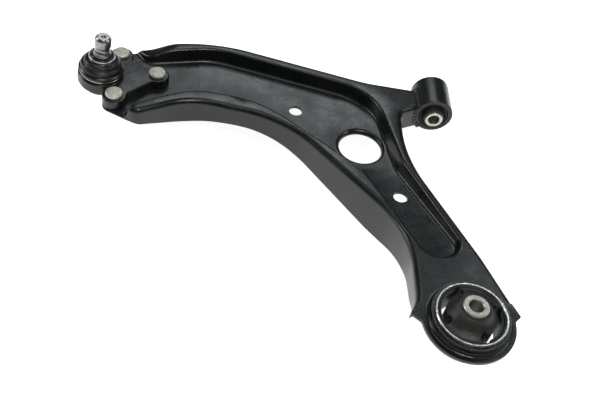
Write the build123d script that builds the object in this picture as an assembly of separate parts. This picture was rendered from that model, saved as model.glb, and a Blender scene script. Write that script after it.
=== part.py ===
from build123d import *
import os
from math import asin, atan2, cos, degrees, radians, sin, tan

# Left-hand lower control arm of a small front-wheel-drive car, in millimetres.
# Origin: on the rear bush axis, level with the front bush.  +Y: pivot line, rear bush to
# front bush.  +Z: up.
# The ball joint lies towards -X.

# ---------------------------------------------------------------- driving dimensions
BUSH_SPAN = 290.5          # rear bush centre to front bush centre, along the pivot line
BALL_REACH = 358.5         # pivot line to ball joint centre, square to the pivot line
BALL_FORWARD = BUSH_SPAN - 18.5  # rear bush centre to ball joint centre, along the pivot line

SHEET = 3.0                # pressed steel
RIM_TOP = 10.0             # height of the rim and of the rear eye plate
RECESS_DEPTH = 15.0        # rim top down to the floor of the pressing
FLOOR_RAMP_RISE = 8.0      # how much the floor climbs towards the rear bush
BEND_RADIUS = 6.0          # outside radius where the rim turns down into the flange
RECESS_DRAFT = 14.0        # degrees, lean of the recess wall
RECESS_TOP_RADIUS = 3.5    # rim edge rolled into the recess
RECESS_FLOOR_RADIUS = 4.0  # recess wall rolled into the floor
FAR_FLANGE_DEPTH = 28.0    # rim top down to the edge of the front and rear-right flanges
RIM_FOOT = 1.0             # height the rim falls to at the ball joint end
RIM_FALL_RUN = 38.0        # length of that fall

COLLAR_HEIGHT = 7.5        # drawn collar above the rear eye plate
COLLAR_WALL = 3.2
COLLAR_FILLET = 3.5

BIG_HOLE_RADIUS = 22.5     # flanged lightening hole
BIG_HOLE_LIP = 5.2         # floor top down to the edge of its drawn lip
BIG_HOLE_ROLL = 4.5
SMALL_HOLE_RADIUS = 7.2    # drain and locating holes

REAR_RING_RADIUS = 32.0    # rear bush, vertical
REAR_BUSH_HEIGHT = 5.5     # middle of the rear bush above the origin
REAR_RING_WALL = 2.0
EYE_PLATE_RADIUS = REAR_RING_RADIUS + 10.0  # plate round the rear bush
REAR_RING_HEIGHT = 29.0
REAR_SLEEVE_RADIUS = 11.4
REAR_BORE_RADIUS = 6.2
REAR_SLEEVE_LENGTH = 52.2
REAR_RUBBER_EDGE = 11.8    # half height of the rubber at the ring
REAR_RUBBER_CONE = 23.6    # half height of the rubber at the sleeve
VOID_RADIUS = REAR_RING_RADIUS - 7.7  # centre line of the two kidney voids
VOID_SLOT = 4.2
VOID_LOBE_RADIUS = 4.3
VOID_HALF_ANGLE = 43.7
VOID_DIRECTION = -26.3     # degrees from +X to the middle of the outboard void

FRONT_EYE_RADIUS = 21.1    # front eye, horizontal
FRONT_EYE_WALL = 3.4
FRONT_EYE_LENGTH = 42.0
FRONT_CAN_WALL = 1.5
FRONT_SLEEVE_RADIUS = 9.5
FRONT_BORE_RADIUS = 6.1
FRONT_SLEEVE_LENGTH = 55.0
WELD_RADIUS = 2.8
NECK_NEAR = -20.0          # flange walls of the neck where they meet the front eye
NECK_FAR = 9.0

BALL_HEIGHT = 6.0          # ball centre above the bush plane
STUD_LEAN = 5.5            # degrees, stud axis leaning towards the pivot line
BALL_RADIUS = 12.5
STUD_RADIUS = 8.2
STUD_TOP = 46.5            # ball centre to the end of the stud
STUD_NECK_RADIUS = 6.4
STUD_GROOVE_RADIUS = 5.0
STUD_GROOVE_DEPTH = 1.4
STUD_GROOVE_HEIGHT = 32.0  # ball centre to the pinch bolt groove
SEAT_WALL = 2.8
HOUSING_RADIUS = BALL_RADIUS + 11.0
HOUSING_WALL = 4.2
COVER_THICKNESS = 2.2
BOOT_WALL = 1.8
BOOT_RING_RADIUS = 12.7    # upper spring ring, to its centre line
BOOT_RING_HEIGHT = 22.3
BOOT_WIRE = 0.9
RIVET_HEAD_RADIUS = 9.0
RIVET_HEAD_HEIGHT = 4.0
RIVET_SHANK_RADIUS = 5.0
BRACKET_THICKNESS = 9.8
BRACKET_BOSS_RADIUS = 12.3
BRACKET_WEB = 4.0          # how far the web between two bosses stands out past their line
EAR_RADIUS = 12.5
HOUSING_GAP = 1.8          # cut-out in the arm round the housing

RUNNING = 0.05             # radial clearance of a turning fit
FULLEST = 0.99             # share of a side that two corner radii may take up

# ---------------------------------------------------------------- places worked out
FLOOR_TOP = RIM_TOP - RECESS_DEPTH
FRONT_Y = BUSH_SPAN
X_SCALE = BALL_REACH / 358.5
Y_SCALE = BUSH_SPAN / 290.5
REAR_SCALE = REAR_RING_RADIUS / 32.0


def rear(x, y):
    """A plan point near the rear bush, which spreads with the bush."""
    return (x * REAR_SCALE, y * REAR_SCALE)


def front(x, y):
    """A plan point near the front bush."""
    return (x, FRONT_Y + y)


def ball(x, y):
    """A plan point near the ball joint."""
    return (x - BALL_REACH, y + BALL_FORWARD)


def mid(x, y):
    """A plan point of the arm's middle, which stretches with both overall sizes."""
    return (x * X_SCALE, y * Y_SCALE)


RIVETS = [ball(18.5, -31), ball(15.9, 34), ball(57.5, 8)]
BIG_HOLE = mid(-82.2, 215.1)
SMALL_HOLES = [mid(-151.3, 258.3), mid(-45.8, 146.1)]

# Corner points of the arm's outline, each with the radius that rounds it.
OUTLINE = [
    (rear(-65, -26), 0), (rear(-44, 16), 50), (mid(-43.5, 95), 112), (mid(-164, 227), 125),
    (mid(-262, 242.5), 70), (ball(44.5, -58.4), 12), (ball(6.4, -40.7), EAR_RADIUS),
    (ball(3.2, 46.8), EAR_RADIUS), (mid(-240.5, 342.3), 170), (mid(-75.5, 303.5), 150),
    (front(-10, 8.5), 0), (front(-10, -16), 0), (front(-38.6, -30.5), 12),
    (mid(-38.6, 195.5), 170), (rear(23, 71.5), 150), (rear(63.5, -26), 0),
]
# Corner points of the recess floor, which runs out over the ball joint end.
RECESS = [
    (ball(16, -85), 0), (ball(36.5, -43.5), 20), (mid(-262, 263), 80), (mid(-188, 255), 120),
    (mid(-81, 170), 130), (rear(-27, 70), 17), (rear(8, 72), 15), (mid(-46.5, 183), 60),
    (mid(-69.5, 284.5), 58), (mid(-243, 325.5), 80), (ball(44.5, 34.5), 15), (ball(8, 75), 0),
    (ball(-70, 75), 0), (ball(-70, -85), 0),
]
# Middle of the arm, which parts the near flange from the far one.
SPINE = [rear(0, -90), rear(0, 60), mid(-45.8, 146), mid(-83, 212), mid(-151, 258),
         mid(-250, 290), ball(-90, 6)]
# Lower edge of the near flange: share of the way from the rear corner to the ball end,
# and height.
NEAR_EDGE = [(-0.06, 7.5), (-0.012, 3.5), (0.02, -13.0), (0.06, -17.0), (0.10, -22.0),
             (0.16, -28.5), (0.235, -35.5), (0.31, -34.5), (0.43, -29.5), (0.55, -24.5),
             (0.65, -18.5), (0.73, -15.0), (0.80, -14.0), (0.85, -15.5), (0.90, -18.0),
             (0.945, -17.5), (0.985, -11.0), (1.03, -8.2)]


# ---------------------------------------------------------------- helpers
def rounded(corners):
    """A closed face through corner points, each rounded by its own radius."""
    points = [Vector(x, y) for (x, y), _ in corners]
    count = len(points)
    halves = []
    for i, here in enumerate(points):
        halves.append(radians((points[i - 1] - here).get_angle(points[(i + 1) % count] - here)) / 2)
    wanted = [radius / tan(half) for (_, radius), half in zip(corners, halves)]
    room = []
    for i in range(count):
        pair = wanted[i - 1] + wanted[i]
        room.append(min(1, FULLEST * (points[i] - points[i - 1]).length / pair) if pair else 1)
    edges = []
    starts = []
    ends = []
    for i, half in enumerate(halves):
        before, here, after = points[i - 1], points[i], points[(i + 1) % count]
        back = (before - here).normalized()
        on = (after - here).normalized()
        reach = wanted[i] * min(room[i], room[(i + 1) % count])
        radius = reach * tan(half)
        starts.append(here + back * reach)
        ends.append(here + on * reach)
        if radius:
            middle = (back + on).normalized()
            centre = here + middle * (radius / sin(half))
            edges.append(ThreePointArc(starts[-1], centre - middle * radius, ends[-1]))
    for i in range(count):
        edges.append(Line(ends[i - 1], starts[i]))
    return make_face(edges)


def prism(face, bottom, top):
    """A flat face in plan, carried from one height to another."""
    return extrude(Pos(0, 0, bottom) * face, top - bottom)


def disc(radius, height, bottom=0.0, at=(0, 0)):
    """A round bar standing on the height `bottom`."""
    return Pos(at[0], at[1], bottom + height / 2) * Cylinder(radius, height)


def tube(outer, inner, height, bottom=0.0):
    """A round tube about the Z axis."""
    return disc(outer, height, bottom) - disc(inner, height + 2, bottom - 1)


def turned(profile):
    """A solid of revolution about Z from (radius, height) points."""
    outline = Polyline(*[(r, 0, z) for r, z in profile], close=True)
    return revolve(make_face(outline), Axis.Z)


def along_pivot(shape, centre_y):
    """Lay a shape made about Z along the pivot line."""
    return Pos(0, centre_y, 0) * Rot(-90, 0, 0) * shape


def joint_place(shape):
    """Put a shape made about the ball centre into the arm, with the stud's lean."""
    return Pos(-BALL_REACH, BALL_FORWARD, BALL_HEIGHT) * Rot(0, STUD_LEAN, 0) * shape


# ---------------------------------------------------------------- pressed arm
def recess_form(gap):
    """The space the press tool sinks into the arm; `gap` carries it to the underside."""
    floor = FLOOR_TOP - gap
    lift = RIM_TOP + 5 - floor
    form = extrude(Pos(0, 0, floor) * offset(rounded(RECESS), gap), lift, taper=-RECESS_DRAFT)
    foot, head = mid(0, 185)[1], rear(0, 70)[1]
    slope = FLOOR_RAMP_RISE / (head - foot)
    ramp = Polyline((0, foot, floor), (0, head - 60, floor + slope * (head - 60 - foot)),
                    (0, head - 60, floor - 5), (0, foot, floor - 5), close=True)
    form = form - extrude(make_face(ramp), 200, both=True)
    floor_edges = [edge for edge in form.edges() if on_floor(edge, floor, foot, slope)]
    return fillet(floor_edges, RECESS_FLOOR_RADIUS + gap)


def on_floor(edge, floor, foot, slope):
    """Whether an edge of the recess runs round its floor."""
    for share in (0.1, 0.5, 0.9):
        point = edge @ share
        level = floor + slope * min(point.Y - foot, 0)
        if abs(point.Z - level) > 0.05:
            return False
    return True


def rim_fall(gap):
    """The space above the rim where it falls away towards the ball joint."""
    crest, foot = Vector(*mid(-279, 335)), Vector(*mid(-316, 215))
    turn = degrees(atan2(crest.Y - foot.Y, crest.X - foot.X)) - 90
    high, low = RIM_TOP - gap, RIM_FOOT - gap
    fall = Spline((0, 0, high), (-RIM_FALL_RUN, 0, low), tangents=[(-1, 0, 0), (-1, 0, 0)])
    round_it = Polyline((-RIM_FALL_RUN, 0, low), (-150, 0, low), (-150, 0, high + 50),
                        (0, 0, high + 50), (0, 0, high))
    space = extrude(make_face([fall, *round_it.edges()]), 250, both=True)
    return Pos(crest.X, crest.Y, 0) * Rot(0, 0, turn) * space


def outer_form(gap):
    """Solid under the skin of the pressing, `gap` inside its outer surface."""
    plan = offset(rounded(OUTLINE), -gap)
    body = prism(plan, FLOOR_TOP - 45, RIM_TOP - gap) - rim_fall(gap)
    walls = prism(plan, FLOOR_TOP - 50, RIM_TOP + 50).faces().sort_by(Axis.Z)[1:-1]
    rim = [edge for edge in body.edges() if along_rim(edge, walls, gap)]
    return fillet(rim, BEND_RADIUS - gap)


def along_rim(edge, walls, gap):
    """Whether an edge runs at rim height along one of the given walls."""
    points = [edge @ share for share in (0.1, 0.5, 0.9)]
    if min(point.Z for point in points) < RIM_FOOT - gap - 0.01:
        return False
    return any(all(wall.distance_to(Vertex(*point)) < 0.01 for point in points)
               for wall in walls)


def skin(gap):
    """The whole pressing as a solid block, `gap` inside its outer surface."""
    recess = recess_form(gap)
    block = outer_form(gap) - recess
    if gap:
        return block
    rim = [edge for edge in block.edges() if along_rim(edge, recess.faces(), gap)]
    return fillet(rim, RECESS_TOP_RADIUS)


def near_side():
    """Plan region of the near flange, bounded by the middle of the arm."""
    corners = SPINE + [ball(-90, -420), rear(0, -150)]
    return make_face(Polyline(*corners, close=True))


def flange_trim():
    """Everything below the edges of the flanges."""
    low = FLOOR_TOP - 60
    start, end = Vector(*OUTLINE[1][0]), Vector(*OUTLINE[5][0])
    reach = (end - start).length
    turn = degrees(atan2(end.Y - start.Y, end.X - start.X))
    edge = [(share * reach, 0, height) for share, height in NEAR_EDGE]
    last = (1.3 * reach, 0, edge[-1][2])
    bottom = Polyline(edge[-1], last, (last[0], 0, low), (edge[0][0], 0, low), edge[0])
    curtain = extrude(make_face([Spline(*edge), *bottom.edges()]), 400, both=True)
    near = Pos(start.X, start.Y, 0) * Rot(0, 0, turn) * curtain
    near = near & prism(near_side(), low, RIM_TOP)

    far_bottom = RIM_TOP - FAR_FLANGE_DEPTH
    right_edge = [(0, -80, 6.6), (0, 12, 6.2), (0, 45, -6.0), (0, 110, far_bottom),
                  (0, FRONT_Y + 120, far_bottom), (0, FRONT_Y + 120, low), (0, -80, low)]
    right = extrude(make_face(Polyline(*right_edge, close=True)), 500, both=True)
    ball_x = ball(0, 0)[0]
    far_edge = [(ball_x - 90, 0, FLOOR_TOP - SHEET), (ball_x + 36, 0, FLOOR_TOP - SHEET),
                (ball_x + 95, 0, far_bottom), (ball_x + 95, 0, low), (ball_x - 90, 0, low)]
    far = extrude(make_face(Polyline(*far_edge, close=True)), 500, both=True)
    right = (right + far) - prism(near_side(), low - 1, RIM_TOP + 1)
    return near + right


def eye_plate():
    """Flat rear end of the pressing with its drawn collar and the bush seat."""
    left, right = rear(-51, 2), rear(48, 8)
    horns = make_face(Polyline(left, rear(-45, 14), rear(42, 21), right, rear(38, -2),
                               rear(-38, -8), close=True))
    plan = Circle(EYE_PLATE_RADIUS) + horns
    plan = offset(offset(plan, 5), -5)
    plate = prism(plan, RIM_TOP - SHEET, RIM_TOP)
    inner, outer = REAR_RING_RADIUS, REAR_RING_RADIUS + COLLAR_WALL
    top = RIM_TOP + COLLAR_HEIGHT
    bottom = RIM_TOP - SHEET
    collar = turned([(inner, bottom), (outer + 1, bottom), (outer + 1, RIM_TOP),
                     (outer, RIM_TOP), (outer, top), (inner, top)])
    plate = (plate - disc(outer + 0.5, SHEET + 2, bottom - 1)) + collar
    foot = [e for e in plate.edges().filter_by(GeomType.CIRCLE)
            if abs(e.radius - outer) < 0.01 and abs(e.center().Z - RIM_TOP) < 0.01]
    return fillet(foot, COLLAR_FILLET)


def flanged_hole():
    """Ring of sheet that turns down into the big lightening hole."""
    inner, roll = BIG_HOLE_RADIUS, BIG_HOLE_ROLL
    outer = inner + roll
    bottom = FLOOR_TOP - BIG_HOLE_LIP
    inside = roll - SHEET
    centre_z = FLOOR_TOP - roll
    top_arc = ThreePointArc((outer, 0, FLOOR_TOP), (outer - roll * sin(radians(45)), 0,
                            centre_z + roll * sin(radians(45))), (inner, 0, centre_z))
    back_arc = ThreePointArc((outer - inside, 0, centre_z), (outer - inside * sin(radians(45)), 0,
                             centre_z + inside * sin(radians(45))), (outer, 0, FLOOR_TOP - SHEET))
    face = make_face([top_arc, Line((inner, 0, centre_z), (inner, 0, bottom)),
                      Line((inner, 0, bottom), (inner + SHEET, 0, bottom)),
                      Line((inner + SHEET, 0, bottom), (outer - inside, 0, centre_z)), back_arc,
                      Line((outer, 0, FLOOR_TOP - SHEET), (outer, 0, FLOOR_TOP))])
    return Pos(*BIG_HOLE, 0) * revolve(face, Axis.Z)


def arm_shell():
    """The pressed arm: rim, recess, flanges, rear eye plate and holes."""
    body = skin(0) - skin(SHEET) - flange_trim()
    left, right = Vector(*rear(-51, 2)), Vector(*rear(48, 8))
    run = (right - left).normalized()
    behind = Polyline(left - run * 60, right + run * 60, rear(120, -120), rear(-120, -120),
                      close=True)
    body = body - prism(make_face(behind), FLOOR_TOP - 60, RIM_TOP + 1)
    body = body - disc(REAR_RING_RADIUS + COLLAR_WALL + 0.5, 60, -40) + eye_plate()
    body = body - disc(REAR_RING_RADIUS, 80, -40)
    body = body - disc(BIG_HOLE_RADIUS + BIG_HOLE_ROLL, 60, -50, BIG_HOLE) + flanged_hole()
    for hole in SMALL_HOLES:
        body = body - disc(SMALL_HOLE_RADIUS, 60, -50, hole)
    for rivet in RIVETS:
        body = body - disc(RIVET_SHANK_RADIUS, 60, -50, rivet)
    body = body - disc(HOUSING_RADIUS + HOUSING_GAP, 60, -50, ball(-0.5, 0))
    eye = Pos(0, FRONT_Y, 0) * Rot(90, 0, 0) * Cylinder(FRONT_EYE_RADIUS, FRONT_EYE_LENGTH * 2)
    return body - eye


# ---------------------------------------------------------------- front eye and bush
def front_bush_eye():
    """Welded tube that holds the front bush."""
    eye = tube(FRONT_EYE_RADIUS, FRONT_EYE_RADIUS - FRONT_EYE_WALL, FRONT_EYE_LENGTH,
               -FRONT_EYE_LENGTH / 2)
    rims = eye.edges().filter_by(GeomType.CIRCLE)
    return along_pivot(chamfer(rims, 0.5), FRONT_Y)


def front_bush_outer_sleeve():
    """Steel can of the front bush, pressed into the eye."""
    outer = FRONT_EYE_RADIUS - FRONT_EYE_WALL
    can = tube(outer, outer - FRONT_CAN_WALL, FRONT_EYE_LENGTH - 1.0, -FRONT_EYE_LENGTH / 2 + 0.5)
    return along_pivot(can, FRONT_Y)


def front_bush_rubber():
    """Rubber of the front bush, with a ring groove in each end face."""
    outer = FRONT_EYE_RADIUS - FRONT_EYE_WALL - FRONT_CAN_WALL
    inner = FRONT_SLEEVE_RADIUS + RUNNING
    width = outer - inner
    face = FRONT_EYE_LENGTH / 2 - 1.5
    nose = FRONT_SLEEVE_LENGTH / 2 - 3.0
    end = [(outer, face - 1.0), (outer - 0.25 * width, face), (outer - 0.5 * width, face - 4.5),
           (outer - 0.68 * width, face - 4.5), (inner + 0.16 * width, nose), (inner, nose)]
    mirrored = [(r, -z) for r, z in reversed(end)]
    return along_pivot(turned(end + mirrored), FRONT_Y)


def front_bush_inner_sleeve():
    """Thick steel sleeve that the front pivot bolt clamps."""
    sleeve = tube(FRONT_SLEEVE_RADIUS, FRONT_BORE_RADIUS, FRONT_SLEEVE_LENGTH,
                  -FRONT_SLEEVE_LENGTH / 2)
    rims = sleeve.edges().filter_by(GeomType.CIRCLE)
    return along_pivot(chamfer(rims, 0.6), FRONT_Y)


def eye_weld(shell):
    """Fillet welds where the neck of the arm meets the front eye."""
    lap = FRONT_EYE_RADIUS + 0.4
    start = degrees(asin(RIM_TOP / FRONT_EYE_RADIUS))
    sweep = start + degrees(asin((FAR_FLANGE_DEPTH - RIM_TOP - 2) / FRONT_EYE_RADIUS))
    arc = revolve(Pos(-lap, 0) * Circle(WELD_RADIUS), Axis.Y, -sweep)
    side = Rot(0, start, 0) * arc
    near_y, far_y = front(0, NECK_NEAR)[1], front(0, NECK_FAR)[1]
    corner_x = -lap * cos(radians(start))
    across = Pos(corner_x, (near_y + far_y) / 2, RIM_TOP) * Rot(90, 0, 0) * Cylinder(
        WELD_RADIUS, far_y - near_y)
    bead = Pos(0, near_y, 0) * side + Pos(0, far_y, 0) * side + across
    for y in (near_y, far_y):
        bead = bead + Pos(corner_x, y, RIM_TOP) * Sphere(WELD_RADIUS)
    eye = Pos(0, FRONT_Y, 0) * Rot(90, 0, 0) * Cylinder(FRONT_EYE_RADIUS, FRONT_EYE_LENGTH * 2)
    return bead - eye - shell


# ---------------------------------------------------------------- rear bush
def rear_bush_outer_ring():
    """Steel ring of the rear bush, pressed into the collar of the arm."""
    ring = tube(REAR_RING_RADIUS, REAR_RING_RADIUS - REAR_RING_WALL, REAR_RING_HEIGHT,
                REAR_BUSH_HEIGHT - REAR_RING_HEIGHT / 2)
    rims = ring.edges().filter_by(GeomType.CIRCLE)
    return chamfer(rims, 0.5)


def rear_bush_rubber():
    """Rubber of the rear bush: a cone up to the sleeve at each end, and two kidney voids."""
    outer = REAR_RING_RADIUS - REAR_RING_WALL
    inner = REAR_SLEEVE_RADIUS + RUNNING
    edge, cone = REAR_RUBBER_EDGE, REAR_RUBBER_CONE
    lip = outer - 0.8
    foot = VOID_RADIUS - VOID_SLOT
    brow = inner + 1.6
    upper = make_face([
        Line((inner, 0, 0), (outer, 0, 0)), Line((outer, 0, 0), (outer, 0, edge + 1.8)),
        Line((outer, 0, edge + 1.8), (lip, 0, edge + 1.8)),
        Line((lip, 0, edge + 1.8), (lip - 1.5, 0, edge)),
        Line((lip - 1.5, 0, edge), (foot, 0, edge)),
        Spline((foot, 0, edge), (inner + 4.5, 0, edge + 0.62 * (cone - edge)), (brow, 0, cone),
               tangents=[(-0.9, 0, 0.45), (-0.35, 0, 1)]),
        Line((brow, 0, cone), (inner, 0, cone)), Line((inner, 0, cone), (inner, 0, 0))])
    half = revolve(upper, Axis.Z)
    body = Pos(0, 0, REAR_BUSH_HEIGHT) * (half + mirror(half, Plane.XY))
    return body - kidney(VOID_DIRECTION) - kidney(VOID_DIRECTION + 180)


def kidney(direction):
    """A curved slot with a round lobe at each end, cut right through the rubber."""
    inner, outer = VOID_RADIUS - VOID_SLOT / 2, VOID_RADIUS + VOID_SLOT / 2
    arc = CenterArc((0, 0, 0), VOID_RADIUS, direction - VOID_HALF_ANGLE, 2 * VOID_HALF_ANGLE)
    band = Circle(outer) - Circle(inner)
    reach = 2 * outer
    wedge = make_face(Polyline((0, 0), *[(reach * cos(radians(direction + turn)),
                                          reach * sin(radians(direction + turn)))
                                         for turn in (-VOID_HALF_ANGLE, 0, VOID_HALF_ANGLE)],
                               close=True))
    slot = band & wedge
    for share in (0, 1):
        end = arc @ share
        slot = slot + Pos(end.X, end.Y) * Circle(VOID_LOBE_RADIUS)
    return prism(slot, -2 * REAR_RUBBER_CONE, 2 * REAR_RUBBER_CONE)


def rear_bush_inner_sleeve():
    """Thick steel sleeve that the rear pivot bolt clamps."""
    sleeve = tube(REAR_SLEEVE_RADIUS, REAR_BORE_RADIUS, REAR_SLEEVE_LENGTH,
                  REAR_BUSH_HEIGHT - REAR_SLEEVE_LENGTH / 2)
    rims = sleeve.edges().filter_by(GeomType.CIRCLE)
    return chamfer(rims, 0.8)


# ---------------------------------------------------------------- ball joint
# Heights here count from the ball centre, along the stud.
SEAT_RADIUS = BALL_RADIUS + SEAT_WALL
SEAT_TOP = 0.57 * BALL_RADIUS
LIP_HEIGHT = 2.0
FLANGE_TOP = 1.0
FLANGE_BOTTOM = -10.0
COVER_BOTTOM = -(BALL_RADIUS + 1.2 + COVER_THICKNESS)
CRIMP = 1.0
BOOT_SEAT_RADIUS = HOUSING_RADIUS - HOUSING_WALL
BOOT_SEAT_TOP = SEAT_TOP - 1.5


def ball_joint_housing():
    """Forged housing and its three-rivet bracket, in one piece."""
    neck = SEAT_RADIUS + 2.4
    opening = SEAT_TOP * 1.7
    body = turned([
        (0, COVER_BOTTOM - CRIMP), (SEAT_RADIUS + 2.2, COVER_BOTTOM - CRIMP),
        (SEAT_RADIUS + 3.0, FLANGE_BOTTOM), (HOUSING_RADIUS - 1.2, FLANGE_BOTTOM),
        (HOUSING_RADIUS, FLANGE_BOTTOM + 1.2), (HOUSING_RADIUS, FLANGE_TOP - 1.2),
        (HOUSING_RADIUS - 1.2, FLANGE_TOP), (BOOT_SEAT_RADIUS, FLANGE_TOP),
        (BOOT_SEAT_RADIUS, BOOT_SEAT_TOP), (neck, SEAT_TOP + LIP_HEIGHT),
        (0, SEAT_TOP + LIP_HEIGHT)])
    cavity = turned([(0, COVER_BOTTOM - CRIMP - 1), (SEAT_RADIUS - 1.5, COVER_BOTTOM - CRIMP - 1),
                     (SEAT_RADIUS - 1.5, COVER_BOTTOM), (SEAT_RADIUS, COVER_BOTTOM),
                     (SEAT_RADIUS, SEAT_TOP), (opening, SEAT_TOP),
                     (opening, SEAT_TOP + LIP_HEIGHT + 1), (0, SEAT_TOP + LIP_HEIGHT + 1)])
    solid_form = joint_place(body)
    web = [(x + BRACKET_WEB, y - BRACKET_WEB) for x, y in (RIVETS[0], RIVETS[2])]
    plan = make_face(Polyline(*web, RIVETS[2], RIVETS[1], ball(-0.5, 0), close=True))
    for rivet in RIVETS:
        plan = plan + Pos(*rivet) * Circle(BRACKET_BOSS_RADIUS)
    plan = plan + Pos(*ball(-0.5, 0)) * Circle(HOUSING_RADIUS - 1.5)
    plan = offset(offset(plan, 6), -6)
    bracket = prism(plan, FLOOR_TOP, FLOOR_TOP + BRACKET_THICKNESS)
    edges = [e for e in bracket.edges() if abs((e @ 0.5).Z - FLOOR_TOP - BRACKET_THICKNESS) < 0.01]
    bracket = fillet(edges, 1.5)
    whole = solid_form + bracket - joint_place(cavity)
    for rivet in RIVETS:
        whole = whole - disc(RIVET_SHANK_RADIUS, 40, -20, rivet)
    return whole


def ball_seat():
    """Plastic cup that the ball turns in."""
    cup = disc(SEAT_RADIUS, SEAT_TOP - COVER_BOTTOM - COVER_THICKNESS,
               COVER_BOTTOM + COVER_THICKNESS)
    return joint_place(cup - Sphere(BALL_RADIUS + RUNNING))


def ball_joint_cover():
    """Steel disc that closes the housing from below, under its crimped lip."""
    return joint_place(chamfer(disc(SEAT_RADIUS, COVER_THICKNESS, COVER_BOTTOM).edges()
                               .group_by(Axis.Z)[-1], 0.4))


def ball_stud():
    """Ball and stud: neck, shoulder, pinch bolt groove and chamfered end."""
    shank = turned([
        (0, 0), (STUD_NECK_RADIUS, 0), (STUD_NECK_RADIUS, 16.0), (STUD_RADIUS + 1.0, 20.0),
        (STUD_RADIUS + 1.0, 25.0), (STUD_RADIUS, 27.5), (STUD_RADIUS, STUD_TOP - 2.4),
        (STUD_RADIUS - 2.2, STUD_TOP), (1.8, STUD_TOP), (0, STUD_TOP - 1.8)])
    groove_centre = STUD_RADIUS - STUD_GROOVE_DEPTH + STUD_GROOVE_RADIUS
    groove = Pos(0, 0, STUD_GROOVE_HEIGHT) * Torus(groove_centre, STUD_GROOVE_RADIUS)
    return joint_place(Sphere(BALL_RADIUS) + shank - groove)


def dust_boot():
    """Ribbed rubber boot between the housing and the stud."""
    wall = BOOT_WALL
    seat = BOOT_SEAT_RADIUS
    seal = STUD_RADIUS + 1.0 + RUNNING
    collar = BOOT_RING_RADIUS - BOOT_WIRE
    skirt = [(seat + wall, FLANGE_TOP + 0.3), (seat + wall - 0.8, FLANGE_TOP + 1.2),
             (seat + wall - 0.8, FLANGE_TOP + 3.0), (HOUSING_RADIUS - 0.4, 5.2),
             (HOUSING_RADIUS - 0.5, 7.6), (HOUSING_RADIUS - 3.0, 9.8), (HOUSING_RADIUS - 2.4, 12.4),
             (HOUSING_RADIUS - 6.2, 14.8), (HOUSING_RADIUS - 5.9, 17.2),
             (BOOT_RING_RADIUS + 0.9, BOOT_RING_HEIGHT - 3.0)]
    neck = [(collar, BOOT_RING_HEIGHT - 1.4), (collar, BOOT_RING_HEIGHT + 1.0),
            (collar - 0.8, BOOT_RING_HEIGHT + 1.8), (seal, BOOT_RING_HEIGHT + 1.2)]
    lining = [(seal, BOOT_RING_HEIGHT - 1.8), (BOOT_RING_RADIUS - wall, BOOT_RING_HEIGHT - 3.4)]
    back = [(r - wall, z) for r, z in reversed(skirt[3:-1])]
    foot = [(seat, FLANGE_TOP + 3.2), (seat, FLANGE_TOP + 0.3)]
    return joint_place(turned(skirt + neck + lining + back + foot))


def boot_upper_ring():
    """Wire spring ring that holds the boot to the stud."""
    return joint_place(Pos(0, 0, BOOT_RING_HEIGHT) * Torus(BOOT_RING_RADIUS + RUNNING, BOOT_WIRE))


def boot_lower_ring():
    """Wire spring ring that holds the boot to the housing."""
    radius = BOOT_SEAT_RADIUS + BOOT_WALL - 0.8 + BOOT_WIRE
    return joint_place(Pos(0, 0, FLANGE_TOP + 2.1) * Torus(radius, BOOT_WIRE))


def rivets():
    """Three solid rivets through the bracket and the arm, as separate solids."""
    top = FLOOR_TOP + BRACKET_THICKNESS
    bottom = FLOOR_TOP - SHEET
    r, h, s = RIVET_HEAD_RADIUS, RIVET_HEAD_HEIGHT, RIVET_SHANK_RADIUS
    one = turned([(0, bottom - h), (r - 2.2, bottom - h), (r - 1.0, bottom - h + 1.2),
                  (r - 1.0, bottom), (s, bottom), (s, top), (r - 0.3, top), (r, top + 0.6),
                  (r, top + h - 1.3), (r - 1.3, top + h), (0, top + h)])
    return Compound(children=[Pos(*place, 0) * one for place in RIVETS])


def build():
    """Make every piece and write it under its own name."""
    shell = arm_shell()
    pieces = {
        "arm_shell": shell,
        "front_bush_eye": front_bush_eye(),
        "eye_weld": eye_weld(shell),
        "front_bush_outer_sleeve": front_bush_outer_sleeve(),
        "front_bush_rubber": front_bush_rubber(),
        "front_bush_inner_sleeve": front_bush_inner_sleeve(),
        "rear_bush_outer_ring": rear_bush_outer_ring(),
        "rear_bush_rubber": rear_bush_rubber(),
        "rear_bush_inner_sleeve": rear_bush_inner_sleeve(),
        "ball_joint_housing": ball_joint_housing(),
        "ball_seat": ball_seat(),
        "ball_joint_cover": ball_joint_cover(),
        "ball_stud": ball_stud(),
        "dust_boot": dust_boot(),
        "boot_upper_ring": boot_upper_ring(),
        "boot_lower_ring": boot_lower_ring(),
        "rivets": rivets(),
    }
    os.makedirs("parts", exist_ok=True)
    for name, piece in pieces.items():
        export_step(piece, f"parts/{name}.step")


build()
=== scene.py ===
"""Looks of a left-hand lower control arm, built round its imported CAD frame."""

import logging
import math
from dataclasses import dataclass
from enum import Enum

import bpy
from mathutils import Matrix, Vector


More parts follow.
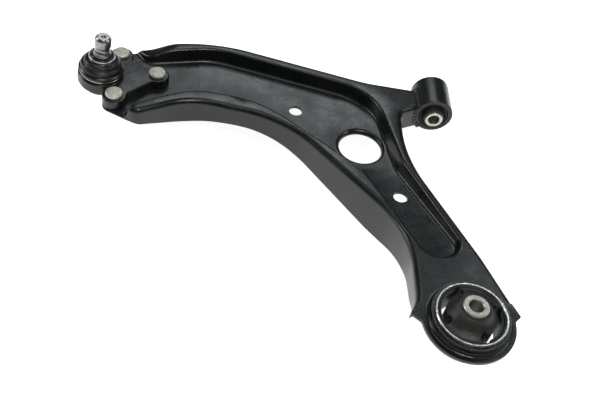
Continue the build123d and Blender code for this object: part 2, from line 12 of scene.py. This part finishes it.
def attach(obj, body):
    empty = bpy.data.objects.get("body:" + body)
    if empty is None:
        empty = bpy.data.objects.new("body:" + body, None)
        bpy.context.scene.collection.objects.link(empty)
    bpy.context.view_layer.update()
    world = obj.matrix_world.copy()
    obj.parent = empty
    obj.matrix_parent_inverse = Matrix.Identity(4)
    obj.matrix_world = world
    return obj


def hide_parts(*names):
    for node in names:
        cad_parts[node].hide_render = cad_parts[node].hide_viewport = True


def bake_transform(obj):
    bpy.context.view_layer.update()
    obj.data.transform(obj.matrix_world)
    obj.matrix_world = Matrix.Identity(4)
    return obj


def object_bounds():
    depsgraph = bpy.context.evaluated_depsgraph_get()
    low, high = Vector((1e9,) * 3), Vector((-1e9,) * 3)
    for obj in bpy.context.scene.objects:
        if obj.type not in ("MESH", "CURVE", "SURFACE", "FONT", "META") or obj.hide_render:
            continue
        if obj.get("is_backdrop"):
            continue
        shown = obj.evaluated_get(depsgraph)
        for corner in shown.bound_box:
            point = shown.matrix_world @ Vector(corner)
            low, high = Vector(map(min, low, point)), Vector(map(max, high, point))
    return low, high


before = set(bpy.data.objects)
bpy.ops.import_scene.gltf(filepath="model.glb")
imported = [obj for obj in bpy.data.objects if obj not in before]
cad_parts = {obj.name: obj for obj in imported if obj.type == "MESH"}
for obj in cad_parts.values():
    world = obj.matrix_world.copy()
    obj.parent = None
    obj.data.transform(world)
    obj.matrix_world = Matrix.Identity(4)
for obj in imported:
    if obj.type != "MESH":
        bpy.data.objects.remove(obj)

MM = 0.001
log = logging.getLogger("control_arm")
Point = tuple[float, float, float]
Profile = list[tuple[float, float]]


class Body(Enum):
    """The moving bodies of the arm."""

    ARM = "arm"
    REAR_SLEEVE = "rear_sleeve"
    BOOT_COLLAR = "boot_collar"
    STUD = "stud"


class Slot(Enum):
    """The record's material slots."""

    COAT = "black_coat_on_steel"
    WELD = "black_coat_on_weld"
    FORGING = "black_forging"
    BARE = "bare_steel"
    ZINC = "zinc_plated_steel"
    GROUND = "ground_steel"
    RIVET = "plated_rivet"
    WIRE = "spring_wire"
    BUSH_RUBBER = "bush_rubber"
    BOOT_RUBBER = "boot_rubber"
    PLASTIC = "seat_plastic"


# ---------------------------------------------------------------- modelling by hand
def clear_selection() -> None:
    """Leave edit mode and select nothing."""
    if bpy.context.object and bpy.context.object.mode != "OBJECT":
        bpy.ops.object.mode_set(mode="OBJECT")
    bpy.ops.object.select_all(action="DESELECT")


def activate(piece: bpy.types.Object) -> None:
    """Make one object the only selected and the active one."""
    clear_selection()
    piece.select_set(True)
    bpy.context.view_layer.objects.active = piece


def modify(piece: bpy.types.Object, kind: str, **settings: object) -> None:
    """Add a modifier and apply it.

    Args:
        piece: the mesh object.
        kind: Blender's name of the modifier.
        settings: the modifier's values.
    """
    activate(piece)
    modifier = piece.modifiers.new(kind.title(), kind)
    for key, value in settings.items():
        setattr(modifier, key, value)
    bpy.ops.object.modifier_apply(modifier=modifier.name)


def smooth(piece: bpy.types.Object, degrees: float = 30.0) -> None:
    """Shade smooth, with edges sharper than the angle left crisp."""
    activate(piece)
    bpy.ops.object.shade_smooth_by_angle(angle=math.radians(degrees))


def settle(piece: bpy.types.Object, place: Matrix) -> None:
    """Carry a piece to its place and leave its object at the origin."""
    activate(piece)
    piece.matrix_world = place @ piece.matrix_world
    bpy.ops.object.transform_apply(location=True, rotation=True, scale=True)


def turned(name: str, profile: Profile, rounding: float, place: Matrix,
           closed: bool = False, steps: int = 96) -> bpy.types.Object:
    """Spin a profile about Z, as on a lathe.

    Args:
        name: the piece's name.
        profile: (radius, height) points in millimetres.
        rounding: size in millimetres of the bevel on the profile's corners.
        place: where the piece goes.
        closed: whether the last point joins the first.
        steps: facets round the turn.

    Returns:
        The turned mesh object.
    """
    clear_selection()
    bpy.ops.mesh.primitive_plane_add(size=MM)
    piece = bpy.context.object
    piece.name = piece.data.name = name
    bpy.ops.object.mode_set(mode="EDIT")
    bpy.ops.mesh.select_all(action="SELECT")
    bpy.ops.mesh.merge(type="CENTER")
    here = Vector((0, 0, 0))
    for index, (radius, height) in enumerate(profile):
        there = Vector((radius, 0, height)) * MM
        if index == 0:
            bpy.ops.transform.translate(value=there - here)
        else:
            bpy.ops.mesh.extrude_vertices_move(
                TRANSFORM_OT_translate={"value": there - here})
        here = there
    if closed:
        bpy.ops.mesh.select_all(action="DESELECT")
        bpy.ops.object.mode_set(mode="OBJECT")
        for at in (0, len(profile) - 1):
            piece.data.vertices[at].select = True
        bpy.ops.object.mode_set(mode="EDIT")
        bpy.ops.mesh.edge_face_add()
    bpy.ops.mesh.select_all(action="SELECT")
    bpy.ops.mesh.bevel(offset=rounding * MM, segments=3, affect="VERTICES", clamp_overlap=True)
    bpy.ops.mesh.select_all(action="SELECT")
    bpy.ops.mesh.spin(steps=steps, angle=2 * math.pi, center=(0, 0, 0), axis=(0, 0, 1))
    bpy.ops.mesh.select_all(action="SELECT")
    bpy.ops.mesh.remove_doubles(threshold=0.004 * MM)
    bpy.ops.mesh.normals_make_consistent(inside=False)
    clear_selection()
    settle(piece, place)
    return piece


def merged_copy(node: str, name: str) -> bpy.types.Object:
    """A welded copy of a CAD node's mesh.

    Args:
        node: the CAD node.
        name: the copy's name.

    Returns:
        The copy, with its doubles merged.
    """
    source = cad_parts[node]
    piece = bpy.data.objects.new(name, source.data.copy())
    piece.data.name = name
    bpy.context.scene.collection.objects.link(piece)
    activate(piece)
    if piece.data.has_custom_normals:
        bpy.ops.mesh.customdata_custom_splitnormals_clear()
    bpy.ops.object.mode_set(mode="EDIT")
    bpy.ops.mesh.select_all(action="SELECT")
    bpy.ops.mesh.remove_doubles(threshold=0.002 * MM)
    clear_selection()
    return piece


# ---------------------------------------------------------------- finishes
class Nodes:
    """A short hand for laying out one material's nodes."""

    def __init__(self, name: str) -> None:
        """Start a material with its shader."""
        self.material = bpy.data.materials.new(name)
        self.material.use_nodes = True
        self.tree = self.material.node_tree
        self.shader = self.tree.nodes["Principled BSDF"]
        self.place = self.add("ShaderNodeTexCoord").outputs["Object"]

    def add(self, kind: str, **settings: object) -> bpy.types.Node:
        """Add a node and set its properties."""
        node = self.tree.nodes.new(kind)
        for key, value in settings.items():
            setattr(node, key, value)
        return node

    def link(self, source: bpy.types.NodeSocket, target: bpy.types.NodeSocket) -> None:
        """Join two sockets."""
        self.tree.links.new(source, target)

    def noise(self, scale: float, detail: float = 4.0, rough: float = 0.55,
              stretch: Point = (1, 1, 1)) -> bpy.types.NodeSocket:
        """Noise on the object's own coordinates.

        Args:
            scale: features per metre.
            detail: octaves.
            rough: share of the fine octaves.
            stretch: scaling of each axis.

        Returns:
            The noise value's socket.
        """
        mapping = self.add("ShaderNodeMapping")
        mapping.inputs["Scale"].default_value = stretch
        self.link(self.place, mapping.inputs["Vector"])
        noise = self.add("ShaderNodeTexNoise")
        noise.inputs["Scale"].default_value = scale
        noise.inputs["Detail"].default_value = detail
        noise.inputs["Roughness"].default_value = rough
        self.link(mapping.outputs["Vector"], noise.inputs["Vector"])
        return noise.outputs["Fac"]

    def ramp(self, value: bpy.types.NodeSocket, stops: list[tuple[float, Point]]
             ) -> bpy.types.NodeSocket:
        """Colours along a value.

        Args:
            value: the socket to read.
            stops: (place, colour) pairs.

        Returns:
            The colour's socket.
        """
        ramp = self.add("ShaderNodeValToRGB")
        while len(ramp.color_ramp.elements) < len(stops):
            ramp.color_ramp.elements.new(0.5)
        for element, (at, colour) in zip(ramp.color_ramp.elements, stops):
            element.position = at
            element.color = (*colour, 1)
        self.link(value, ramp.inputs["Fac"])
        return ramp.outputs["Color"]

    def span(self, value: bpy.types.NodeSocket, low: float, high: float,
             start: float = 0.3, end: float = 0.7) -> bpy.types.NodeSocket:
        """A value carried from start..end to low..high."""
        span = self.add("ShaderNodeMapRange")
        span.inputs["From Min"].default_value = start
        span.inputs["From Max"].default_value = end
        span.inputs["To Min"].default_value = low
        span.inputs["To Max"].default_value = high
        self.link(value, span.inputs["Value"])
        return span.outputs["Result"]

    def relief(self, heights: list[tuple[bpy.types.NodeSocket, float]]) -> None:
        """Bump from several heights, each with its depth in metres."""
        normal = None
        for height, depth in heights:
            bump = self.add("ShaderNodeBump")
            bump.inputs["Distance"].default_value = depth
            self.link(height, bump.inputs["Height"])
            if normal:
                self.link(normal, bump.inputs["Normal"])
            normal = bump.outputs["Normal"]
        self.link(normal, self.shader.inputs["Normal"])

    def set(self, **values: float) -> None:
        """Set constants on the shader's own sockets."""
        for key, value in values.items():
            self.shader.inputs[key.replace("_", " ")].default_value = value


@dataclass(frozen=True)
class Coat:
    """Black electro-coat on steel: satin, faintly mottled, with a fine orange peel."""

    name: str
    dark: Point
    light: Point
    smooth: float
    dull: float
    peel: float
    grain: float = 0.0

    def build(self) -> bpy.types.Material:
        """Lay out the nodes."""
        n = Nodes(self.name)
        mottle = n.noise(22, 5, 0.62)
        n.link(n.ramp(mottle, [(0.34, self.dark), (0.68, self.light)]),
               n.shader.inputs["Base Color"])
        n.link(n.span(n.noise(38, 6, 0.65), self.smooth, self.dull), n.shader.inputs["Roughness"])
        heights = [(n.noise(520, 2), self.peel)]
        if self.grain:
            heights.append((n.noise(1400, 3, 0.7), self.grain))
        n.relief(heights)
        n.set(Specular_IOR_Level=0.40)
        return n.material


@dataclass(frozen=True)
class Metal:
    """Bare, plated or ground metal with fine turning marks and light soiling."""

    name: str
    light: Point
    dark: Point
    smooth: float
    dull: float
    marks: Point
    depth: float

    def build(self) -> bpy.types.Material:
        """Lay out the nodes."""
        n = Nodes(self.name)
        cloud = n.noise(260, 4, 0.6)
        n.link(n.ramp(cloud, [(0.3, self.dark), (0.62, self.light)]),
               n.shader.inputs["Base Color"])
        n.link(n.span(n.noise(420, 4), self.smooth, self.dull), n.shader.inputs["Roughness"])
        n.relief([(n.noise(900, 3, 0.6, self.marks), self.depth)])
        n.set(Metallic=1.0)
        return n.material


@dataclass(frozen=True)
class Rubber:
    """Moulded rubber: near black, dull, with a soft bloom and a fine grain."""

    name: str
    dark: Point
    bloom: Point
    smooth: float
    dull: float
    grain: float

    def build(self) -> bpy.types.Material:
        """Lay out the nodes."""
        n = Nodes(self.name)
        n.link(n.ramp(n.noise(70, 5, 0.6), [(0.35, self.dark), (0.7, self.bloom)]),
               n.shader.inputs["Base Color"])
        n.link(n.span(n.noise(150, 4), self.smooth, self.dull), n.shader.inputs["Roughness"])
        n.relief([(n.noise(1500, 3, 0.7), self.grain), (n.noise(240, 2), self.grain * 3)])
        n.set(Specular_IOR_Level=0.45)
        return n.material


class Finishes:
    """Every finish of the arm, each made once."""

    def __init__(self) -> None:
        """Make the materials."""
        recipes = {
            Slot.COAT: Coat("black_coat", (0.003, 0.0036, 0.0042), (0.010, 0.0118, 0.0128),
                            0.20, 0.38, 0.00008),
            Slot.WELD: Coat("coated_weld", (0.004, 0.004, 0.004), (0.012, 0.011, 0.011),
                            0.28, 0.55, 0.00012, 0.00015),
            Slot.FORGING: Coat("coated_forging", (0.005, 0.005, 0.006), (0.014, 0.014, 0.015),
                               0.22, 0.40, 0.0001, 0.00004),
            Slot.BARE: Metal("bare_steel", (0.66, 0.65, 0.62), (0.36, 0.36, 0.34),
                             0.22, 0.42, (1, 1, 6), 0.00003),
            Slot.ZINC: Metal("zinc_steel", (0.56, 0.55, 0.50), (0.34, 0.33, 0.30),
                             0.34, 0.52, (1, 1, 4), 0.00003),
            Slot.GROUND: Metal("ground_steel", (0.30, 0.29, 0.29), (0.15, 0.15, 0.16),
                               0.24, 0.36, (1, 1, 8), 0.000002),
            Slot.RIVET: Metal("rivet_metal", (0.62, 0.61, 0.54), (0.46, 0.45, 0.39),
                              0.5, 0.7, (1, 1, 1), 0.00005),
            Slot.WIRE: Metal("ring_wire", (0.58, 0.57, 0.54), (0.28, 0.28, 0.27),
                             0.25, 0.4, (1, 1, 3), 0.00002),
            Slot.BUSH_RUBBER: Rubber("bush_rubber", (0.008, 0.010, 0.009), (0.021, 0.024, 0.022),
                                     0.34, 0.56, 0.00003),
            Slot.BOOT_RUBBER: Rubber("boot_rubber", (0.004, 0.004, 0.0045), (0.011, 0.011, 0.012),
                                     0.26, 0.42, 0.00003),
            Slot.PLASTIC: Rubber("seat_plastic", (0.62, 0.60, 0.52), (0.70, 0.68, 0.60),
                                 0.3, 0.45, 0.00001),
        }
        self.materials = {slot: recipe.build() for slot, recipe in recipes.items()}

    def dress(self, piece: bpy.types.Object, slot: Slot) -> None:
        """Give a piece one finish."""
        piece.data.materials.clear()
        piece.data.materials.append(self.materials[slot])

    def dress_node(self, node: str, slot: Slot) -> None:
        """Give a shown CAD node its finish."""
        self.dress(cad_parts[node], slot)
        log.info("CAD node %s in %s", node, slot.value)


# ---------------------------------------------------------------- sub-assemblies
@dataclass
class PressedArm:
    """The pressing, from its CAD node welded into one smooth skin."""

    finishes: Finishes
    crisp_angle: float = 32.0

    def build(self) -> None:
        """Make the skin that stands for the pressing's loose triangles."""
        skin = merged_copy("arm_shell", "pressed_arm")
        smooth(skin, self.crisp_angle)
        self.finishes.dress(skin, Slot.COAT)
        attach(skin, Body.ARM.value)
        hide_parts("arm_shell")
        log.info("pressed_arm: %d faces", len(skin.data.polygons))


@dataclass
class FrontBush:
    """Front eye with its weld, rubber and sleeves, about the pivot line."""

    finishes: Finishes
    eye_radius: float = 21.1
    can_radius: float = 16.2
    sleeve_radius: float = 9.55
    half_length: float = 21.0
    sleeve_half: float = 27.5
    bead_radius: float = 2.9
    bead_pitch: float = 1.9
    ripple_size: float = 0.94
    weld_grain: float = 0.42
    rim_height: float = 10.0
    weld_low: float = -16.0
    near_edge: float = -20.0
    far_edge: float = 9.0
    span: float = 290.5

    @property
    def place(self) -> Matrix:
        """From a shape about Z to the front bush."""
        return (Matrix.Translation((0, self.span * MM, 0))
                @ Matrix.Rotation(math.radians(-90), 4, "X"))

    def rubber(self) -> None:
        """Ringed rubber between the can and the inner sleeve."""
        outer, inner = self.can_radius, self.sleeve_radius
        face, nose = self.half_length - 1.3, self.sleeve_half - 3.2
        width = outer - inner
        end = [(outer, face - 3.2), (outer - 0.08 * width, face - 3.4),
               (outer - 0.13 * width, face - 0.2), (outer - 0.26 * width, face + 0.5),
               (outer - 0.38 * width, face), (outer - 0.45 * width, face - 2.8),
               (outer - 0.56 * width, face - 3.0), (outer - 0.62 * width, face - 0.6),
               (inner + 0.26 * width, face + 1.2), (inner + 0.2 * width, nose), (inner, nose)]
        profile = end + [(r, -z) for r, z in reversed(end)]
        rubber = turned("front_bush_rubber_moulding", profile, 0.5, self.place, closed=True)
        smooth(rubber, 50)
        self.finishes.dress(rubber, Slot.BUSH_RUBBER)
        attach(rubber, Body.ARM.value)
        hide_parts("front_bush_rubber")
        log.info("front bush rubber made")

    def bead_path(self) -> list[Vector]:
        """Places of the weld's ripples, up one side, over the top and down the other."""
        lap = self.eye_radius + 0.2
        top = math.asin(self.rim_height / self.eye_radius)
        low = math.asin(self.weld_low / self.eye_radius)
        near, far = self.span + self.near_edge, self.span + self.far_edge
        count = round((top - low) * lap / self.bead_pitch)
        angles = [low + (top - low) * i / count for i in range(count + 1)]
        side = [(-lap * math.cos(a), lap * math.sin(a)) for a in angles]
        across = round((far - near) / self.bead_pitch)
        path = [Vector((x, near, z)) for x, z in side]
        path += [Vector((side[-1][0], near + (far - near) * i / across, side[-1][1]))
                 for i in range(1, across)]
        return path + [Vector((x, far, z)) for x, z in reversed(side)]

    def weld(self) -> None:
        """One rippled bead where the neck of the pressing meets the eye."""
        clear_selection()
        path = self.bead_path()
        bpy.ops.mesh.primitive_ico_sphere_add(subdivisions=3, radius=self.bead_radius * MM,
                                              location=path[0] * MM)
        bead = bpy.context.object
        bead.name = bead.data.name = "eye_weld_bead"
        bpy.ops.object.transform_apply(location=True)
        bpy.ops.object.mode_set(mode="EDIT")
        for index, point in enumerate(path[1:]):
            swell = self.ripple_size * (1 + 0.10 * math.sin(index * 2.3)
                                        + 0.06 * math.sin(index * 5.1))
            bpy.ops.mesh.primitive_ico_sphere_add(subdivisions=3, location=point * MM,
                                                  radius=self.bead_radius * swell * MM)
        clear_selection()
        modify(bead, "REMESH", mode="VOXEL", voxel_size=self.weld_grain * MM, adaptivity=0.0)
        modify(bead, "SMOOTH", factor=0.5, iterations=2)
        smooth(bead, 60)
        self.finishes.dress(bead, Slot.WELD)
        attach(bead, Body.ARM.value)
        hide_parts("eye_weld")
        log.info("eye weld made of %d ripples", len(path))

    def build(self) -> None:
        """Make the front bush."""
        self.rubber()
        self.weld()
        self.finishes.dress_node("front_bush_eye", Slot.COAT)
        self.finishes.dress_node("front_bush_outer_sleeve", Slot.COAT)
        self.finishes.dress_node("front_bush_inner_sleeve", Slot.ZINC)


@dataclass
class RearBush:
    """Vertical rear bush: ring, voided rubber and inner sleeve."""

    finishes: Finishes
    height: float = 5.5
    ring_inside: float = 30.0
    sleeve_radius: float = 11.45
    face: float = 11.8
    lip: float = 1.8
    cone: float = 23.6
    void_radius: float = 24.3
    void_slot: float = 4.2
    lobe_radius: float = 4.3
    half_angle: float = 43.7
    direction: float = -26.3
    rounding: float = 0.45

    def half(self, name: str, sign: int) -> bpy.types.Object:
        """One half of the rubber, above or below the bush's middle.

        Args:
            name: the half's name.
            sign: 1 for the upper half, -1 for the lower.

        Returns:
            The half with its two kidney voids.
        """
        foot = self.void_radius - self.void_slot
        outer, inner = self.ring_inside, self.sleeve_radius
        rise = self.cone - self.face
        profile = [(inner, 0), (outer, 0), (outer, self.face + self.lip),
                   (outer - 0.9, self.face + self.lip), (outer - 2.3, self.face),
                   (outer - 4.4, self.face + 0.03 * rise), (foot + 2.6, self.face + 0.14 * rise),
                   (foot + 0.2, self.face + 0.28 * rise), (foot - 2.2, self.face + 0.46 * rise),
                   (inner + 4.6, self.face + 0.66 * rise), (inner + 3.2, self.face + 0.84 * rise),
                   (inner + 2.8, self.face + 0.95 * rise),
                   (inner + 2.3, self.cone), (inner, self.cone)]
        rubber = turned(name, [(r, z * sign) for r, z in profile], self.rounding,
                        Matrix.Translation((0, 0, self.height * MM)), closed=True, steps=144)
        for turn in (0, 180):
            for cutter in self.cutters(self.direction + turn):
                modify(rubber, "BOOLEAN", operation="DIFFERENCE", solver="EXACT", object=cutter)
                bpy.data.objects.remove(cutter)
        smooth(rubber, 40)
        return rubber

    def cutters(self, direction: float) -> list[bpy.types.Object]:
        """The slot and the two end lobes of one void, as solids to cut with."""
        found = []
        tall = 80 * MM
        for side in (-1, 1):
            angle = math.radians(direction + side * self.half_angle)
            clear_selection()
            bpy.ops.mesh.primitive_cylinder_add(
                vertices=40, radius=self.lobe_radius * MM, depth=tall,
                location=(self.void_radius * MM * math.cos(angle),
                          self.void_radius * MM * math.sin(angle), 0))
            bpy.ops.object.transform_apply(location=True)
            found.append(bpy.context.object)
        clear_selection()
        bpy.ops.mesh.primitive_plane_add(size=1)
        slot = bpy.context.object
        slot.scale = (self.void_slot * MM, tall, 1)
        slot.rotation_euler = (math.radians(90), 0, 0)
        slot.location = (self.void_radius * MM, 0, 0)
        bpy.ops.object.transform_apply(location=True, rotation=True, scale=True)
        # Blender's spin turns against the sign of its angle, so the slot starts at the far end.
        slot.rotation_euler = (0, 0, math.radians(direction + self.half_angle))
        bpy.ops.object.transform_apply(rotation=True)
        bpy.ops.object.mode_set(mode="EDIT")
        bpy.ops.mesh.select_all(action="SELECT")
        bpy.ops.mesh.spin(steps=36, angle=math.radians(2 * self.half_angle), center=(0, 0, 0),
                          axis=(0, 0, 1))
        bpy.ops.mesh.select_all(action="SELECT")
        bpy.ops.mesh.normals_make_consistent(inside=False)
        clear_selection()
        found.append(slot)
        return found

    def build(self) -> None:
        """Make the rear bush."""
        for name, sign in (("rear_rubber_upper", 1), ("rear_rubber_lower", -1)):
            rubber = self.half(name, sign)
            self.finishes.dress(rubber, Slot.BUSH_RUBBER)
            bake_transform(rubber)
            if sign > 0:
                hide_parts("rear_bush_rubber")
            log.info("%s: %d faces", name, len(rubber.data.polygons))
        self.finishes.dress_node("rear_bush_outer_ring", Slot.BARE)
        self.finishes.dress_node("rear_bush_inner_sleeve", Slot.ZINC)


@dataclass
class BallJoint:
    """Ball joint: forged housing, rivets, boot, rings and stud, about the leaning stud axis."""

    finishes: Finishes
    reach: float = 358.5
    forward: float = 272.0
    lift: float = 6.0
    lean: float = 5.5
    ball_radius: float = 12.43
    stud_radius: float = 8.2
    stud_top: float = 46.5
    neck_radius: float = 6.4
    groove_height: float = 32.0
    groove_depth: float = 1.4
    ring_radius: float = 12.7
    ring_height: float = 22.3
    wire: float = 0.9
    housing_radius: float = 23.5
    seat_radius: float = 19.3
    wall: float = 1.8
    rivet_places: tuple[tuple[float, float], ...] = ((18.5, -31.0), (15.9, 34.0), (57.5, 8.0))
    rivet_head: float = 9.0
    rivet_height: float = 4.0
    bracket_top: float = 4.8
    ear_bottom: float = -8.0

    @property
    def place(self) -> Matrix:
        """From a shape about the ball centre to the arm."""
        return (Matrix.Translation(Vector((-self.reach, self.forward, self.lift)) * MM)
                @ Matrix.Rotation(math.radians(self.lean), 4, "Y"))

    def boot(self) -> None:
        """Ribbed boot, turned about the leaning stud axis."""
        wall, seat, out = self.wall, self.seat_radius, self.housing_radius
        collar = self.ring_radius - self.wire
        seal = self.stud_radius + 1.05
        skirt = [(seat + wall, 1.4), (seat + wall - 0.8, 2.2), (seat + wall - 0.8, 4.0),
                 (out - 0.4, 5.4), (out - 0.3, 7.4), (out - 2.2, 9.0), (out - 2.9, 10.2),
                 (out - 2.2, 11.4), (out - 2.9, 13.0), (out - 5.4, 14.4), (out - 6.0, 15.4),
                 (out - 5.7, 16.6), (out - 7.0, 18.2), (self.ring_radius + 0.9, 19.4)]
        top = [(collar, self.ring_height - 1.2), (collar, self.ring_height + 0.9),
               (collar - 0.9, self.ring_height + 1.8), (seal, self.ring_height + 1.3),
               (seal, self.ring_height - 1.8), (self.ring_radius - wall, self.ring_height - 3.4)]
        back = [(r - wall, z) for r, z in reversed(skirt[3:-1])]
        profile = skirt + top + back + [(seat, 4.0), (seat, 1.4)]
        boot = turned("ball_joint_boot", profile, 0.4, self.place, closed=True, steps=120)
        smooth(boot, 55)
        self.finishes.dress(boot, Slot.BOOT_RUBBER)
        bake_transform(boot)
        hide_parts("dust_boot")
        log.info("boot made")

    def stud(self) -> None:
        """Ground stud with its ball, neck, shoulder, groove and centred end."""
        r, top, g = self.stud_radius, self.stud_top, self.groove_height
        ball = self.ball_radius
        arc = [(ball * math.cos(math.radians(a)), ball * math.sin(math.radians(a)))
               for a in range(-90, 56, 5)]
        arc[0] = (0, -ball)
        groove = [(r - self.groove_depth * (1 - (t / 3) ** 2), g + t * 1.15)
                  for t in (-3, -2, -1, 0, 1, 2, 3)]
        profile = arc + [(self.neck_radius, 11.6), (self.neck_radius, 16.0), (r + 1.0, 20.0),
                         (r + 1.0, 25.0), (r, 27.2), *groove, (r, top - 2.4),
                         (r - 2.0, top - 0.15), (r - 2.5, top), (2.4, top), (2.0, top - 0.2),
                         (0, top - 1.9)]
        stud = turned("ball_pin", profile, 0.12, self.place)
        smooth(stud, 30)
        self.finishes.dress(stud, Slot.GROUND)
        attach(stud, Body.STUD.value)
        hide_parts("ball_stud")
        log.info("stud made")

    def rivets(self) -> None:
        """Three headed rivets, modelled once and copied."""
        r, h = self.rivet_head, self.rivet_height
        top, low = self.bracket_top, self.ear_bottom
        profile = [(0, low - h + 0.2), (r - 3.2, low - h), (r - 1.0, low - h + 1.2), (r - 1.0, low),
                   (5.0, low), (5.0, top), (r - 0.2, top + 0.05), (r, top + 0.8),
                   (r - 0.2, top + h - 1.3), (r - 1.2, top + h - 0.35), (r - 2.6, top + h - 0.1),
                   (5.2, top + h), (5.0, top + h - 0.18), (4.4, top + h - 0.18),
                   (4.2, top + h), (0, top + h)]
        first = turned("rivet_a", profile, 0.3, Matrix.Identity(4), steps=64)
        smooth(first, 35)
        for letter in "bc":
            copy = bpy.data.objects.new(f"rivet_{letter}", first.data.copy())
            bpy.context.scene.collection.objects.link(copy)
        for letter, (x, y) in zip("abc", self.rivet_places):
            rivet = bpy.data.objects[f"rivet_{letter}"]
            settle(rivet, Matrix.Translation(((x - self.reach) * MM, (y + self.forward) * MM, 0)))
            self.finishes.dress(rivet, Slot.RIVET)
            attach(rivet, Body.ARM.value)
            log.info("rivet_%s set", letter)
        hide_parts("rivets")

    def housing(self) -> None:
        """Forged housing with its bracket, welded from its CAD node into one skin."""
        housing = merged_copy("ball_joint_housing", "ball_joint_forging")
        smooth(housing, 32)
        self.finishes.dress(housing, Slot.FORGING)
        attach(housing, Body.ARM.value)
        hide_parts("ball_joint_housing")

    def build(self) -> None:
        """Make the ball joint."""
        self.housing()
        self.boot()
        self.stud()
        self.rivets()
        self.finishes.dress_node("ball_seat", Slot.PLASTIC)
        self.finishes.dress_node("ball_joint_cover", Slot.ZINC)
        self.finishes.dress_node("boot_upper_ring", Slot.WIRE)
        self.finishes.dress_node("boot_lower_ring", Slot.WIRE)


@dataclass(frozen=True)
class SoftBox:
    """One rectangular soft light that faces the arm: place and size in metres, watts, tint."""

    name: str
    place: Point
    size: tuple[float, float]
    power: float
    tint: Point = (1, 1, 1)

    def build(self, target: Point) -> None:
        """Make the light and turn it to the target."""
        lamp = bpy.data.lights.new(self.name, "AREA")
        lamp.shape = "RECTANGLE"
        lamp.size, lamp.size_y = self.size
        lamp.energy = self.power
        lamp.color = self.tint
        holder = bpy.data.objects.new(self.name, lamp)
        holder.location = self.place
        toward = Vector(target) - Vector(self.place)
        holder.rotation_euler = toward.to_track_quat("-Z", "Y").to_euler()
        bpy.context.scene.collection.objects.link(holder)


COOL = (0.90, 0.98, 1.0)
WARM = (1.0, 0.95, 0.88)
LIGHTS = (
    SoftBox("behind", (-0.15, 1.5, 1.35), (0.8, 0.5), 6.4, COOL),
    SoftBox("beside", (0.6, 0.95, 1.3), (0.3, 0.3), 1.6, COOL),
    SoftBox("overhead", (-0.5, 0.3, 1.9), (0.7, 0.6), 4, COOL),
    SoftBox("front", (0.1, -0.65, 1.7), (0.45, 0.3), 13, WARM),
    SoftBox("left", (-1.9, 0.5, 0.85), (0.5, 0.7), 9),
    SoftBox("right", (1.5, 0.1, 1.2), (0.3, 0.6), 7),
)


@dataclass
class Studio:
    """Pale floor, soft lights and the camera."""

    azimuth: float = -8.74
    elevation: float = 47.77
    roll: float = 12.34
    station: Point = (-0.22295, -0.37227, 0.55615)
    lens: float = 47.15
    middle: Point = (-0.16, 0.15, 0.0)
    floor_glow: float = 0.93
    floor_size: float = 80
    floor_gap: float = 0.0005
    room_glow: float = 0.05

    def floor(self) -> None:
        """A plain pale sheet under the arm."""
        clear_selection()
        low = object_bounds()[0][2] - self.floor_gap
        bpy.ops.mesh.primitive_plane_add(size=self.floor_size, location=(0, 0, low))
        floor = bpy.context.object
        floor.name = "studio_floor"
        n = Nodes("studio_white")
        n.link(n.ramp(n.noise(3, 2), [(0.3, (0.86, 0.86, 0.86)), (0.7, (0.88, 0.88, 0.88))]),
               n.shader.inputs["Base Color"])
        n.set(Roughness=0.9, Specular_IOR_Level=0.1, Emission_Strength=self.floor_glow)
        n.shader.inputs["Emission Color"].default_value = (1, 1, 1, 1)
        floor.data.materials.append(n.material)
        floor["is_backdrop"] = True

    def camera(self) -> None:
        """The camera at its measured place and turn."""
        az, el, roll = (math.radians(v) for v in (self.azimuth, self.elevation, self.roll))
        back = Vector((math.sin(az) * math.cos(el), -math.cos(az) * math.cos(el), math.sin(el)))
        right = Vector((math.cos(az), math.sin(az), 0))
        up = back.cross(right)
        right, up = (math.cos(roll) * right + math.sin(roll) * up,
                     math.cos(roll) * up - math.sin(roll) * right)
        turn = Matrix((right, up, back)).transposed().to_4x4()
        lens = bpy.data.cameras.new("camera")
        lens.lens = self.lens
        lens.clip_end = 30
        holder = bpy.data.objects.new("camera", lens)
        holder.matrix_world = Matrix.Translation(self.station) @ turn
        bpy.context.scene.collection.objects.link(holder)
        bpy.context.scene.camera = holder

    def build(self) -> None:
        """Set up the room."""
        self.floor()
        world = bpy.data.worlds.new("studio_world")
        world.use_nodes = True
        world.node_tree.nodes["Background"].inputs["Color"].default_value = (1, 1, 1, 1)
        world.node_tree.nodes["Background"].inputs["Strength"].default_value = self.room_glow
        bpy.context.scene.world = world
        bpy.context.scene.view_settings.view_transform = "Standard"
        for light in LIGHTS:
            light.build(self.middle)
        self.camera()
        log.info("studio set")


def main() -> None:
    """Build the arm's looks in order."""
    logging.basicConfig(level=logging.INFO, format="%(name)s: %(message)s")
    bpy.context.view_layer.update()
    finishes = Finishes()
    for assembly in (PressedArm(finishes), FrontBush(finishes), RearBush(finishes),
                     BallJoint(finishes)):
        assembly.build()
    Studio().build()


if __name__ == "__main__":
    main()
